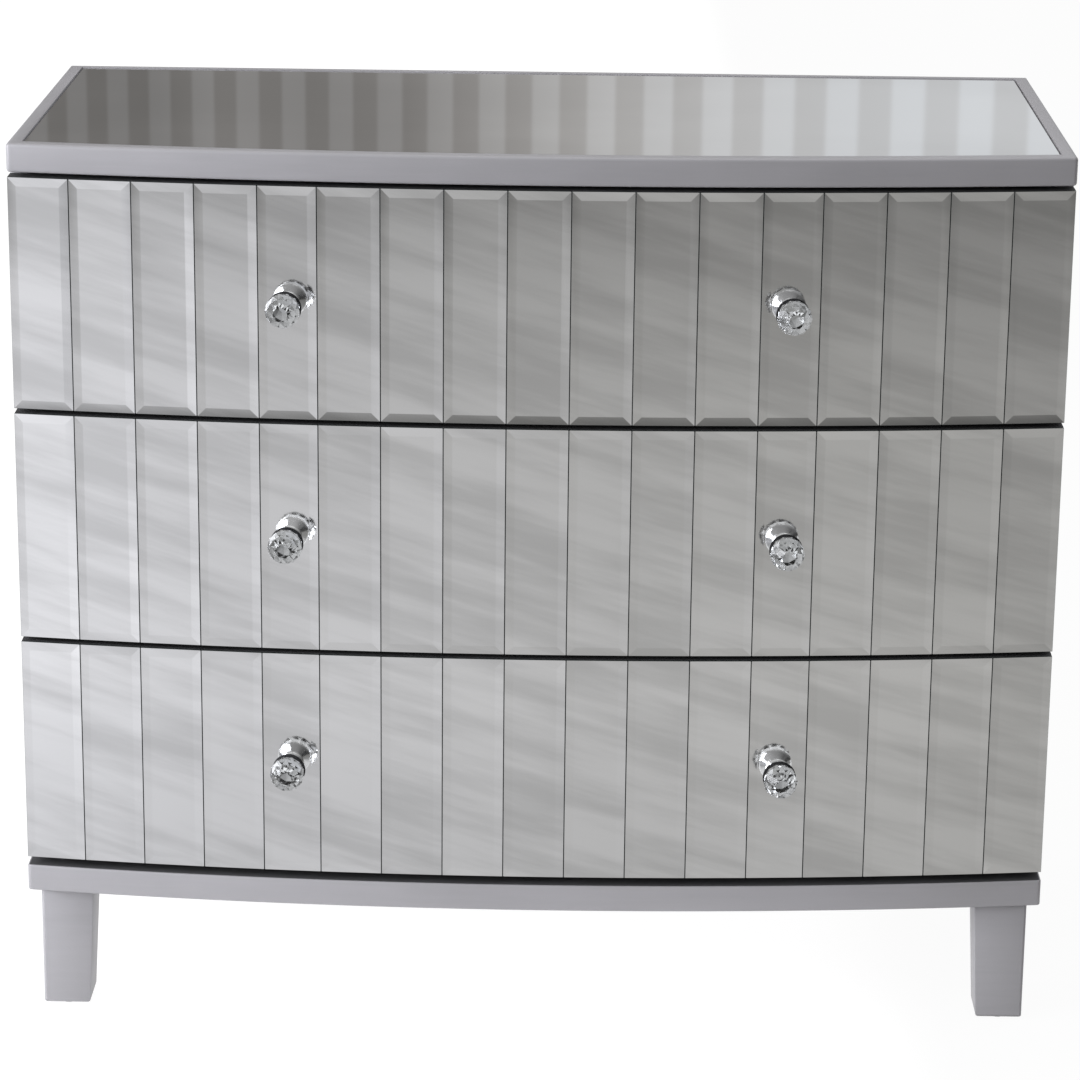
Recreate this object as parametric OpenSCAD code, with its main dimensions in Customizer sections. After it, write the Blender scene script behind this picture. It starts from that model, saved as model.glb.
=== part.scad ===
// Bow-front chest of three drawers, faced with bevelled mirror strips.
// Millimetres. X runs across the front, Y from front to back, Z up from the floor.
// Lengths along Y are measured from the two front corners of the top, and lower numbers are nearer the front.

/* [Body] */
// Width of the chest
body_w = 1004; // [900:1:1100]
// Depth of the top and base at the two ends
body_d = 446; // [440:1:520]
// How far the front bows out at its middle
bow = 34.3; // [20:0.1:50]
// Thickness of the top
top_t = 27.5; // [20:0.5:36]
// Thickness of the base
base_t = 26.5; // [22:0.5:40]
// Thickness of the side panels
side_t = 18; // [15:1:22]
// Thickness of the back panel
back_t = 6; // [4:0.5:9]
// Width of the rebate that holds the back panel
rebate_w = 9; // [6:1:12]
// Rounding along the edges of the top
top_edge_r = 3; // [1:0.5:4]
// Rounding along the edges of the base
base_edge_r = 1.5; // [1:0.5:4]
// Rounding of the front corners of the top and base
corner_r = 3; // [2:0.5:6]
// Depth of the divider rails, from front to back at the ends
rail_d = 60; // [40:1:90]
// Thickness of the divider rails
rail_t = 12; // [10:1:18]

/* [Legs] */
// Height of the base above the floor
leg_h = 125; // [90:1:180]
// Width of a leg where it meets the base
leg_top_w = 52; // [46:1:60]
// Width of a leg at its foot
leg_foot_w = 46; // [36:1:52]
// Inset of the legs from the sides
leg_side_inset = 12.5; // [6:0.5:24]
// Inset of the legs from the front corners and from the back
leg_end_inset = 2; // [2:1:16]
// Rounding of the outer corner of a leg
leg_corner_r = 3; // [1:0.5:6]
// Chamfer along the lower edges of a leg
leg_chamfer = 3.5; // [1:0.5:5]
// Diameter of a glide
glide_d = 28; // [20:1:34]
// Thickness of a glide
glide_t = 3; // [2:0.5:5]
// Diameter of a leg bolt
bolt_d = 8; // [6:1:10]
// Diameter of the head of a leg bolt
bolt_head_d = 14; // [13:1:18]
// Height of the head of a leg bolt
bolt_head_h = 5.5; // [4:0.5:8]
// How far a leg bolt reaches into its leg
bolt_reach = 35; // [25:1:50]
// Clearance round a leg bolt
bolt_play = 0.25; // [0.2:0.05:0.5]

/* [Drawers] */
// Height of a drawer front
drawer_h = 224.5; // [200:0.5:250]
// Gap between two drawer fronts
front_gap = 5; // [3:0.5:6]
// Gap above the upper drawer front
top_gap = 4.5; // [3:0.5:6]
// Gap under the lower drawer front
base_gap = 8.5; // [3:0.5:10]
// Thickness of the curved board behind the mirror strips
front_t = 18; // [15:1:22]
// Space between a closed drawer front and the carcass behind it
close_gap = 2.5; // [2:0.5:4]
// Thickness of the sides and back of a drawer box
box_t = 12; // [11:1:16]
// Height of a drawer box
box_h = 160; // [130:1:175]
// Height of a drawer box above the lower edge of its front
box_rise = 22; // [18:1:30]
// Space between a drawer box and the back panel
box_back_gap = 10; // [8:1:20]
// Thickness of a drawer bottom
bottom_t = 6; // [4:0.5:8]
// Height of a drawer bottom above the lower edges of the drawer sides
bottom_rise = 8; // [6:1:14]
// Depth of the grooves that hold a drawer bottom
groove_d = 5; // [4:0.5:6]

/* [Mirrors] */
// Thickness of the mirror glass
glass_t = 4; // [3:0.5:6]
// Width of the bevel round each strip
bevel_w = 8.5; // [5:0.5:12]
// How much thinner the glass is at the outer edge of the bevel
bevel_drop = 1.1; // [0.6:0.1:2]
// Thickness of the adhesive behind the strips
glue_t = 0.02; // [0.02:0.01:0.3]
// Gap between neighbouring strips
strip_gap = 0.5; // [0.4:0.1:1]
// Width of the two strips that carry the knobs
knob_strip_w = 56; // [50:0.1:62]
// Width of the two strips at the ends
end_strip_w = 58.6; // [50:0.1:62]
// Width of the rim of the top beside the inset mirror
rim_side = 15.5; // [9:0.5:20]
// Width of the rim of the top in front of the inset mirror
rim_front = 17; // [9:0.5:24]
// Width of the rim of the top behind the inset mirror
rim_back = 13; // [9:0.5:20]
// Gap between the inset mirror and its rim
rim_gap = 2; // [0.4:0.1:2.5]
// Depth of the inset mirror below its rim
rim_drop = 1; // [0.2:0.1:2]

/* [Knobs] */
// Diameter of the chrome foot on the glass
knob_foot_d = 25; // [15:0.5:28]
// Thickness of the chrome foot
knob_foot_t = 2.5; // [2:0.5:4]
// Width of the slope round the upper edge of the foot
knob_foot_slope = 1; // [0.5:0.1:1.5]
// Rise of the upper side of the foot towards the neck
knob_foot_rise = 0.6; // [0.3:0.1:1]
// Diameter of the narrow neck
knob_neck_d = 9; // [8:0.5:12]
// Height of the narrowest place of the neck above the glass
knob_neck_h = 6.5; // [5:0.5:8]
// Width that the neck gains where it starts to flare
knob_curve_w = 1.6; // [1:0.1:2]
// Height over which the neck gains that width
knob_curve_h = 3.6; // [3:0.1:5]
// Diameter of the flared mount under the crystal
knob_flare_d = 32; // [24:0.5:34]
// Thickness of the rim of the flare
knob_rim_t = 1.2; // [0.8:0.1:2]
// Height of the crystal's seat above the glass
knob_seat_h = 18; // [15:0.5:20]
// Largest diameter of the crystal
crystal_d = 33; // [31:0.5:36]
// Length of the crystal along its axis
crystal_l = 29; // [26:0.5:32]
// Diameter of the knob screw
screw_d = 4; // [3:0.5:5]
// Diameter of the head of the knob screw
screw_head_d = 9; // [7:0.5:11]
// Height of the head of the knob screw
screw_head_h = 2.5; // [2:0.5:4]
// How far the knob screw reaches into its mount
screw_reach = 11; // [8:0.5:13]
// Clearance round the knob screw in the board and in the glass
screw_play = 0.6; // [0.3:0.1:0.8]

/* [Runners] */
// Length of a runner
runner_l = 400; // [380:5:410]
// Distance of the runners behind the front edges of the side panels
runner_setback = 4; // [2:1:10]
// How far a drawer pulls out
runner_travel = 300; // [260:5:310]
// Height of a runner
runner_h = 45; // [40:1:50]
// Thickness of a runner from the side panel to the drawer
runner_t = 12.7; // [12.5:0.1:14]
// Thickness of the steel that the runners are bent from
sheet_t = 1.2; // [1:0.1:1.4]
// Diameter of a bearing ball
ball_d = 6; // [5.6:0.1:6.2]
// Clearance between a ball and the steel above and below it
ball_play = 0.25; // [0.2:0.05:0.3]
// Height of the lips that keep the balls in their races
lip_h = 1.7; // [1.2:0.1:2]
// Clearance between a ball and the lip beside it
lip_play = 0.1; // [0.05:0.05:0.2]
// Thickness of the ball cage
cage_t = 0.5; // [0.4:0.1:0.6]
// Clearance round a ball in its cage
cage_play = 0.15; // [0.1:0.05:0.3]
// Clearance between a ball cage and the ends of its races
cage_end_play = 1; // [0.5:0.5:3]
// Distance between the balls of a row
ball_pitch = 22; // [14:1:24]

/* [Hidden] */

// Finishes, as red, green and blue
silver_paint = [0.69, 0.68, 0.72];
dark_stain = [0.20, 0.20, 0.21];
mirror_tint = [0.80, 0.82, 0.84];
box_board = [0.80, 0.72, 0.60];
steel = [0.62, 0.64, 0.66];
chrome = [0.86, 0.87, 0.88];
crystal_tint = [0.88, 0.93, 0.96];
black_plastic = [0.12, 0.12, 0.13];

// A cut runs this far past a face that it opens
past = 1;
// Share of its width by which an end flat of the bow runs on, to be cut off
run_on_share = 0.2;
// Facets of the small round shapes
$fn = 64;
// Facets of the circle that the bow is part of
bow_facets = 1440;

// Places of the three drawers, counted from the bottom
lower = 0;
middle = 1;
upper = 2;
drawer_count = 3;

// The bow is an arc through the two front corners
half_w = body_w / 2;
bow_r = (half_w * half_w + bow * bow) / (2 * bow);
bow_y = bow_r - bow;
panel_face_r = bow_r - glass_t - glue_t;
panel_back_r = panel_face_r - front_t;

// Heights
case_z = leg_h + base_t;
case_h = base_gap + drawer_count * drawer_h + (drawer_count - 1) * front_gap + top_gap;
top_z = case_z + case_h;
body_h = top_z + top_t;
mirror_z = body_h - rim_drop - glass_t;
function front_z(place) = case_z + base_gap + place * (drawer_h + front_gap);
function box_z(place) = front_z(place) + box_rise;
function runner_z(place) = box_z(place) + box_h / 2;

// Widths of the strips from the middle to one end, and the places of the seams between them
even_strips = 6.5;
strip_w = (half_w - knob_strip_w - end_strip_w) / even_strips;
half_widths = [strip_w / 2, strip_w, strip_w, strip_w, knob_strip_w, strip_w, strip_w, strip_w, end_strip_w];
function sum_to(last) = last == 0 ? half_widths[0] : half_widths[last] + sum_to(last - 1);
half_seams = [for (i = [0 : len(half_widths) - 1]) sum_to(i)];
seams = concat([for (i = [len(half_seams) - 1 : -1 : 0]) -half_seams[i]], half_seams);
strip_count = len(seams) - 1;
knob_place = 4;
knob_strips = [knob_place, strip_count - 1 - knob_place];
function seam_turn(i) = asin(seams[i] / bow_r);
function strip_turn(k) = (seam_turn(k) + seam_turn(k + 1)) / 2;
function strip_half_turn(k) = (seam_turn(k + 1) - seam_turn(k)) / 2;
function flat_r(k) = panel_face_r * cos(strip_half_turn(k));
function glass_r(k) = flat_r(k) + glue_t + glass_t;

// Inside of the carcass and outside of the drawer boxes
inner_x = half_w - side_t;
box_x = inner_x - runner_t;
case_front_y = glass_t + glue_t + front_t + close_gap;
box_back_y = body_d - back_t - box_back_gap;
runner_y = case_front_y + runner_setback;

// Legs
leg_outer_x = half_w - leg_side_inset;
bolt_in = leg_foot_w / 2;
bolt_x = leg_outer_x - bolt_in;
bolt_front_y = leg_end_inset + bolt_in;
bolt_back_y = body_d - leg_end_inset - bolt_in;

// Runner section, measured from the side panel
ball_x = runner_t / 2;
ball_z = runner_h / 2 - sheet_t - ball_play - ball_d / 2;
race_z = ball_z - ball_d / 2 - ball_play;
lip_x = ball_d / 2 - lip_play;
cage_x = sheet_t + ball_play;
cage_end = ball_x + ball_d / 2 + cage_t;
overlap_l = runner_l - runner_travel;
cage_l = overlap_l - 2 * sheet_t - 2 * cage_end_play;
cage_y = runner_y + (overlap_l - cage_l) / 2 + runner_travel / 2;
balls_in_row = 4;

// Rings of the crystal: height as a share of its length, radius as a share of its largest, and half sides turned
crystal_rings = [[0, 0.74, 0], [0.27, 0.97, 1], [0.52, 1, 0], [0.78, 0.82, 1], [1, 0.42, 0]];
crystal_sides = 12;
half_side_turn = 180 / crystal_sides;
ring_t = 0.02;

// The part stands with the middle of its outer box on the origin, so everything moves by this much
knob_turn = strip_turn(knob_strips[1]);
knob_tip_r = glass_r(knob_strips[1]) + knob_seat_h + crystal_l;
crystal_face_r = crystal_rings[len(crystal_rings) - 1][1] * crystal_d / 2;
knob_tip_y = bow_y - knob_tip_r * cos(knob_turn) - crystal_face_r * sin(knob_turn);
shift_y = -(knob_tip_y + body_d) / 2;

module seated() translate([0, shift_y, 0]) children();

// Everything behind the bow with this radius, as a flat outline
module behind_bow(r) translate([0, bow_y]) circle(r = r, $fn = bow_facets);

// The bow of a drawer front is made of flats, one for each strip. These are the corners between the flats that
// lie on this radius, with the two end flats run on past the ends of the chest.
function flat_corner(r, i) = [r * sin(seam_turn(i)), bow_y - r * cos(seam_turn(i))];
function run_on(from, to) = to + (to - from) * run_on_share;
function flat_corners(r) = concat([run_on(flat_corner(r, 1), flat_corner(r, 0))],
    [for (i = [1 : strip_count - 1]) flat_corner(r, i)],
    [run_on(flat_corner(r, strip_count - 1), flat_corner(r, strip_count))]);

// Everything behind the flats on this radius, as a flat outline
module behind_flats(r) {
    points = flat_corners(r);
    side_x = points[strip_count][0];
    polygon(concat(points, [[side_x, body_d], [-side_x, body_d]]));
}

// Turns and moves a shape from the middle of the bow's circle onto strip k, with its own Y outwards as minus
module on_strip(k, r, z) translate([0, bow_y, z]) rotate([0, 0, strip_turn(k)]) translate([0, -r, 0]) children();

module both_sides() {
    children();
    mirror([1, 0, 0]) children();
}

// A rectangle with round corners, as a flat outline
module round_rectangle(w, h, r) {
    translate([r, 0]) square([w - 2 * r, h]);
    translate([0, r]) square([w, h - 2 * r]);
    for (x = [r, w - r], y = [r, h - r]) translate([x, y]) circle(r = r);
}

// Outline of the top and base: straight sides and back, bowed front, round front corners
module bowed_outline() {
    round_y = bow_y - sqrt(pow(bow_r - corner_r, 2) - pow(half_w - corner_r, 2));
    meet_x = (half_w - corner_r) * bow_r / (bow_r - corner_r);
    difference() {
        intersection() {
            translate([-half_w, -bow]) square([body_w, body_d + bow]);
            behind_bow(bow_r);
        }
        both_sides() difference() {
            translate([meet_x, round_y - corner_r - past]) square([corner_r + past, corner_r + past]);
            translate([half_w - corner_r, round_y]) circle(r = corner_r);
        }
    }
}

// A bowed slab with its front and side edges rounded
module bowed_slab(t, edge_r) {
    intersection() {
        linear_extrude(t) bowed_outline();
        translate([-half_w, body_d + past, 0]) rotate([90, 0, 0])
            linear_extrude(body_d + bow + 2 * past) round_rectangle(body_w, t, edge_r);
        translate([0, bow_y, 0]) rotate_extrude($fn = bow_facets)
            intersection() {
                translate([-bow_r, 0]) round_rectangle(2 * bow_r, t, edge_r);
                square([bow_r + past, t]);
            }
    }
}

// Outline of the inset mirror, or of its recess
module inset_outline(spare) {
    intersection() {
        translate([-half_w + rim_side - spare, -bow])
            square([body_w - 2 * rim_side + 2 * spare, body_d + bow - rim_back + spare]);
        behind_bow(bow_r - rim_front + spare);
    }
}

module top_panel() {
    color(silver_paint) seated() difference() {
        translate([0, 0, top_z]) bowed_slab(top_t, top_edge_r);
        translate([0, 0, mirror_z]) linear_extrude(glass_t + rim_drop + past) inset_outline(rim_gap);
    }
}

module top_mirror() {
    color(mirror_tint) seated() translate([0, 0, mirror_z]) linear_extrude(glass_t) inset_outline(0);
}

module side_panel() {
    color(silver_paint) seated() difference() {
        translate([inner_x, case_front_y, case_z]) cube([side_t, body_d - case_front_y, case_h]);
        translate([inner_x - past, body_d - back_t, case_z - past])
            cube([rebate_w + past, back_t + past, case_h + 2 * past]);
    }
}

module base_panel() {
    color(silver_paint) seated() difference() {
        translate([0, 0, leg_h]) bowed_slab(base_t, base_edge_r);
        both_sides() for (y = [bolt_front_y, bolt_back_y])
            translate([bolt_x, y, leg_h - past]) cylinder(d = bolt_d + 2 * bolt_play, h = base_t + 2 * past);
    }
}

module back_panel() {
    panel_x = inner_x + rebate_w;
    color(silver_paint) seated()
        translate([-panel_x, body_d - back_t, case_z]) cube([2 * panel_x, back_t, case_h]);
}

// A rail behind the gap above the drawer at this place, bowed like the front
module divider_rail(place) {
    color(dark_stain) seated() translate([0, 0, front_z(place) + drawer_h + (front_gap - rail_t) / 2])
        linear_extrude(rail_t) intersection() {
            translate([-inner_x, -bow]) square([2 * inner_x, case_front_y + rail_d + bow]);
            behind_bow(panel_back_r - close_gap);
        }
}

// Side view of a leg: its outer edge is upright, its inner edge tapers to the foot, and the foot is chamfered
module leg_profile() {
    leg_top = leg_h - glide_t;
    taper = leg_top_w - leg_foot_w;
    chamfer_taper = taper * leg_chamfer / leg_top;
    polygon([[-leg_chamfer, 0], [0, leg_chamfer], [0, leg_top], [-leg_top_w, leg_top],
        [taper - leg_top_w - chamfer_taper, leg_chamfer], [taper - leg_top_w + leg_chamfer, 0]]);
}

// The front right leg, with the same profile from the front and from the side
module leg() {
    leg_top = leg_h - glide_t;
    translate([leg_outer_x, leg_end_inset, glide_t]) difference() {
        intersection() {
            rotate([90, 0, 0]) translate([0, 0, -leg_top_w]) linear_extrude(leg_top_w) leg_profile();
            rotate([90, 0, -90]) linear_extrude(leg_top_w) leg_profile();
            translate([-leg_top_w, 0, 0]) linear_extrude(leg_top) union() {
                square([leg_top_w - leg_corner_r, leg_top_w]);
                translate([0, leg_corner_r]) square([leg_top_w, leg_top_w - leg_corner_r]);
                translate([leg_top_w - leg_corner_r, leg_corner_r]) circle(r = leg_corner_r);
            }
        }
        translate([-bolt_in, bolt_in, leg_top - bolt_reach - past])
            cylinder(d = bolt_d + 2 * bolt_play, h = bolt_reach + 2 * past);
    }
}

module leg_at(left, back) {
    color(silver_paint) seated() mirror([left ? 1 : 0, 0, 0])
        translate([0, back ? body_d : 0, 0]) mirror([0, back ? 1 : 0, 0]) leg();
}

// Repeats a shape under or over the middle of each leg's foot
module at_legs() both_sides() for (y = [bolt_front_y, bolt_back_y]) translate([bolt_x, y, 0]) children();

module leg_glides() color(black_plastic) seated() at_legs() cylinder(d = glide_d, h = glide_t);

module leg_bolts() {
    color(steel) seated() at_legs() {
        translate([0, 0, leg_h - bolt_reach]) cylinder(d = bolt_d, h = bolt_reach + base_t);
        translate([0, 0, case_z]) cylinder(d = bolt_head_d, h = bolt_head_h);
    }
}

// The fixed member: a channel open towards the drawer, with a lip over each row of balls
module cabinet_runners(place) {
    edge = ball_x + lip_x + sheet_t + ball_play;
    color(steel) seated() both_sides() translate([inner_x, runner_y, runner_z(place)]) mirror([1, 0, 0])
        rotate([-90, 0, 0]) linear_extrude(runner_l) {
            translate([0, -runner_h / 2]) square([sheet_t, runner_h]);
            for (side = [-1, 1]) scale([1, side]) {
                translate([0, runner_h / 2 - sheet_t]) square([edge, sheet_t]);
                translate([edge - sheet_t, runner_h / 2 - sheet_t - lip_h]) square([sheet_t, lip_h + sheet_t]);
            }
        }
}

// The sliding member: a channel on the drawer side, open towards the cabinet
module drawer_runners(place) {
    edge = ball_x - lip_x - sheet_t - ball_play;
    color(steel) seated() both_sides() translate([inner_x, runner_y, runner_z(place)]) mirror([1, 0, 0])
        rotate([-90, 0, 0]) linear_extrude(runner_l) {
            translate([runner_t - sheet_t, -race_z]) square([sheet_t, 2 * race_z]);
            for (side = [-1, 1]) scale([1, side]) {
                translate([edge, race_z - sheet_t]) square([runner_t - edge, sheet_t]);
                translate([edge, race_z - sheet_t]) square([sheet_t, lip_h + sheet_t]);
            }
        }
}

module ball_cage() {
    difference() {
        rotate([-90, 0, 0]) linear_extrude(cage_l) {
            translate([cage_x, -ball_z - cage_t / 2]) square([cage_t, 2 * ball_z + cage_t]);
            for (side = [-1, 1]) translate([cage_x, side * ball_z - cage_t / 2])
                square([cage_end - cage_x, cage_t]);
        }
        at_balls() cylinder(d = ball_d + 2 * cage_play, h = 2 * cage_t, center = true);
    }
    at_balls() sphere(d = ball_d);
}

module at_balls() {
    first = (cage_l - (balls_in_row - 1) * ball_pitch) / 2;
    for (side = [-1, 1], i = [0 : balls_in_row - 1])
        translate([ball_x, first + i * ball_pitch, side * ball_z]) children();
}

module ball_cages(place) {
    color(steel) seated() both_sides() translate([inner_x, cage_y, runner_z(place)]) mirror([1, 0, 0]) ball_cage();
}

// Repeats a shape on the two strips that carry knobs, at this distance from the middle of the bow's circle
module at_knobs(place) {
    for (k = knob_strips)
        on_strip(k, glass_r(k), front_z(place) + drawer_h / 2) rotate([90, 0, 0]) children();
}

// The bowed board, glued up from one stave behind each strip, with a groove for the drawer bottom
module front_panel(place) {
    end_x = flat_corner(panel_face_r, strip_count)[0];
    color(dark_stain) seated() difference() {
        translate([0, 0, front_z(place)]) linear_extrude(drawer_h) difference() {
            intersection() {
                translate([-end_x, -bow]) square([2 * end_x, body_d + bow]);
                behind_flats(panel_face_r);
            }
            behind_flats(panel_back_r);
        }
        translate([0, 0, box_z(place) + bottom_rise]) linear_extrude(bottom_t) bottom_outline();
        at_knobs(place) translate([0, 0, -front_t - glue_t - glass_t - past])
            cylinder(d = screw_d + 2 * screw_play, h = front_t + glue_t + glass_t + 2 * past);
    }
}

// Outline of a drawer bottom, with the edges that stand in the grooves of the front and sides
module bottom_outline() {
    inside_x = box_x - box_t + groove_d;
    intersection() {
        translate([-inside_x, -bow]) square([2 * inside_x, box_back_y + bow]);
        behind_flats(panel_back_r + groove_d);
    }
}

// A plate of glass that stands upright, with a bevel on all four sides of its outer face
module bevelled_plate(w, h) {
    intersection() {
        linear_extrude(h, center = true) bevel_section(w);
        rotate([0, 90, 0]) linear_extrude(w, center = true) bevel_section(h);
    }
}

module bevel_section(w) {
    edge_t = glass_t - bevel_drop;
    polygon([[-w / 2, 0], [-w / 2, -edge_t], [bevel_w - w / 2, -glass_t], [w / 2 - bevel_w, -glass_t],
        [w / 2, -edge_t], [w / 2, 0]]);
}

module mirror_strips(place) {
    color(mirror_tint) seated() difference() {
        for (k = [0 : strip_count - 1])
            on_strip(k, flat_r(k) + glue_t, front_z(place) + drawer_h / 2)
                bevelled_plate(2 * panel_face_r * sin(strip_half_turn(k)) - strip_gap, drawer_h);
        at_knobs(place) translate([0, 0, -glass_t - past])
            cylinder(d = screw_d + 2 * screw_play, h = glass_t + 2 * past);
    }
}

// The right side of a drawer box, which ends on the slanted back of the front
module drawer_side(place) {
    color(box_board) seated() difference() {
        translate([0, 0, box_z(place)]) linear_extrude(box_h) intersection() {
            translate([box_x - box_t, -bow]) square([box_t, box_back_y + bow]);
            behind_flats(panel_back_r);
        }
        translate([box_x - box_t - past, -bow - past, box_z(place) + bottom_rise])
            cube([groove_d + past, box_back_y + bow + 2 * past, bottom_t]);
    }
}

module drawer_back(place) {
    inside_x = box_x - box_t;
    floor_h = bottom_rise + bottom_t;
    color(box_board) seated() translate([-inside_x, box_back_y - box_t, box_z(place) + floor_h])
        cube([2 * inside_x, box_t, box_h - floor_h]);
}

// The bottom slides in its grooves under the back, and its front edge follows the bow
module drawer_bottom(place) {
    color(box_board) seated() translate([0, 0, box_z(place) + bottom_rise])
        linear_extrude(bottom_t) bottom_outline();
}

// A clear crystal cut with many-sided rings, each turned half a side from the next
module knob_crystals(place) {
    color(crystal_tint) seated() at_knobs(place) translate([0, 0, knob_seat_h]) hull()
        for (ring = crystal_rings)
            translate([0, 0, ring[0] * (crystal_l - ring_t)]) rotate([0, 0, ring[2] * half_side_turn])
                cylinder(r = ring[1] * crystal_d / 2, h = ring_t, $fn = crystal_sides);
}

// Chrome foot, narrow neck and flared seat, turned in one piece
module knob_mounts(place) {
    color(chrome) seated() at_knobs(place) difference() {
        rotate_extrude() polygon([[0, 0], [knob_foot_d / 2, 0],
            [knob_foot_d / 2, knob_foot_t - knob_foot_slope],
            [knob_foot_d / 2 - knob_foot_slope, knob_foot_t],
            [knob_neck_d / 2 + knob_foot_rise, knob_foot_t + knob_foot_rise],
            [knob_neck_d / 2, knob_neck_h],
            [knob_neck_d / 2 + knob_curve_w, knob_neck_h + knob_curve_h],
            [knob_flare_d / 2, knob_seat_h - knob_rim_t], [knob_flare_d / 2, knob_seat_h], [0, knob_seat_h]]);
        translate([0, 0, -past]) cylinder(d = screw_d, h = screw_reach + past);
    }
}

module knob_screws(place) {
    hole_l = glass_t + glue_t + front_t * cos(strip_half_turn(knob_strips[1]));
    color(steel) seated() at_knobs(place) {
        translate([0, 0, -hole_l]) cylinder(d = screw_d, h = hole_l + screw_reach);
        translate([0, 0, -hole_l - screw_head_h]) cylinder(d = screw_head_d, h = screw_head_h);
    }
}

top_panel();
top_mirror();
mirror([1, 0, 0]) side_panel();  // side_panel_left
side_panel();  // side_panel_right
base_panel();
back_panel();
divider_rail(middle);  // divider_rail_upper
divider_rail(lower);  // divider_rail_lower
leg_at(true, false);  // leg_front_left
leg_at(false, false);  // leg_front_right
leg_at(true, true);  // leg_back_left
leg_at(false, true);  // leg_back_right
leg_glides();
leg_bolts();
cabinet_runners(upper);  // cabinet_runners_upper
cabinet_runners(middle);  // cabinet_runners_middle
cabinet_runners(lower);  // cabinet_runners_lower
front_panel(upper);  // front_panel_upper
front_panel(middle);  // front_panel_middle
front_panel(lower);  // front_panel_lower
mirror_strips(upper);  // mirror_strips_upper
mirror_strips(middle);  // mirror_strips_middle
mirror_strips(lower);  // mirror_strips_lower
mirror([1, 0, 0]) drawer_side(upper);  // drawer_side_left_upper
mirror([1, 0, 0]) drawer_side(middle);  // drawer_side_left_middle
mirror([1, 0, 0]) drawer_side(lower);  // drawer_side_left_lower
drawer_side(upper);  // drawer_side_right_upper
drawer_side(middle);  // drawer_side_right_middle
drawer_side(lower);  // drawer_side_right_lower
drawer_back(upper);  // drawer_back_upper
drawer_back(middle);  // drawer_back_middle
drawer_back(lower);  // drawer_back_lower
drawer_bottom(upper);  // drawer_bottom_upper
drawer_bottom(middle);  // drawer_bottom_middle
drawer_bottom(lower);  // drawer_bottom_lower
knob_crystals(upper);  // knob_crystals_upper
knob_crystals(middle);  // knob_crystals_middle
knob_crystals(lower);  // knob_crystals_lower
knob_mounts(upper);  // knob_mounts_upper
knob_mounts(middle);  // knob_mounts_middle
knob_mounts(lower);  // knob_mounts_lower
knob_screws(upper);  // knob_screws_upper
knob_screws(middle);  // knob_screws_middle
knob_screws(lower);  // knob_screws_lower
drawer_runners(upper);  // drawer_runners_upper
drawer_runners(middle);  // drawer_runners_middle
drawer_runners(lower);  // drawer_runners_lower
ball_cages(upper);  // ball_cages_upper
ball_cages(middle);  // ball_cages_middle
ball_cages(lower);  // ball_cages_lower
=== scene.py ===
"""Looks of a mirrored bow-front chest of three drawers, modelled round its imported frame.

Lengths are in metres. X runs across the front, Y from front to back, and Z is up from the floor.
"""

import math

import bpy
from bpy.props import FloatProperty, FloatVectorProperty, IntProperty, PointerProperty
from mathutils import Matrix, Vector


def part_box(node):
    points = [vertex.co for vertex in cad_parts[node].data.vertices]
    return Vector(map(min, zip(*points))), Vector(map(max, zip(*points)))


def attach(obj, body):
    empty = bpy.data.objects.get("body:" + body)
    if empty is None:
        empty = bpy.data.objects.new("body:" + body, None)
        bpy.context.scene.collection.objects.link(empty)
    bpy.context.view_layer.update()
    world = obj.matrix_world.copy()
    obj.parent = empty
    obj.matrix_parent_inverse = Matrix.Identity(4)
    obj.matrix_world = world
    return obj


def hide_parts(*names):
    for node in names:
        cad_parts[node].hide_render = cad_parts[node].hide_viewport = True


bl_info = {
    "name": "Mirrored bow-front chest",
    "version": (1, 0, 0),
    "blender": (4, 5, 0),
    "location": "View3D > Sidebar > Chest",
    "description": "Dresses a mirrored chest of drawers in glass, silver paint, chrome and crystal",
    "category": "Object",
}

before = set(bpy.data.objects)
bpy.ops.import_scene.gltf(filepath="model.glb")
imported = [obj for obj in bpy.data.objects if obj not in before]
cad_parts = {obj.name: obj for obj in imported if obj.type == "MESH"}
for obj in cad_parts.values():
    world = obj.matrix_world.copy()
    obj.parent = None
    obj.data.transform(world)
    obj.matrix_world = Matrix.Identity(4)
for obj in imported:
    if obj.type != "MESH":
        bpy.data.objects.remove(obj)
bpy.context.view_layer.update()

PLACES = ("upper", "middle", "lower")
# Driving sizes that the boxes of the nodes don't give, the same as in the part's source
BODY_DEPTH = 0.446
CORNER_ROUND = 0.003
TOP_EDGE_ROUND = 0.003
BASE_EDGE_ROUND = 0.0015
RIM_GAP = 0.002
REBATE_WIDTH = 0.009
LEG_FOOT_WIDTH = 0.046
LEG_CHAMFER = 0.0035
STRIP_COUNT = 17
KNOB_STRIPS = (4, 12)
KNOB_STRIP_WIDTH = 0.056
END_STRIP_WIDTH = 0.0586
STRIP_GAP = 0.0005
GLASS_THICK = 0.004

# Sizes that the frame holds
TOP_LOW, TOP_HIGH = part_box("top_panel")
HALF_WIDTH = TOP_HIGH.x
STRIPS_LOW, STRIPS_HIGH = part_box("mirror_strips_upper")
DRAWER_HEIGHT = STRIPS_HIGH.z - STRIPS_LOW.z
BOW = TOP_HIGH.y - TOP_LOW.y - BODY_DEPTH
CORNER_Y = TOP_LOW.y + BOW
BOW_RADIUS = (HALF_WIDTH**2 + BOW**2) / (2 * BOW)
BOW_CENTRE_Y = CORNER_Y + BOW_RADIUS - BOW

STRIP_WIDTH = (HALF_WIDTH - KNOB_STRIP_WIDTH - END_STRIP_WIDTH) / 6.5

# How far a cutting piece reaches past what it cuts
PAST = 0.01


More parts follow.
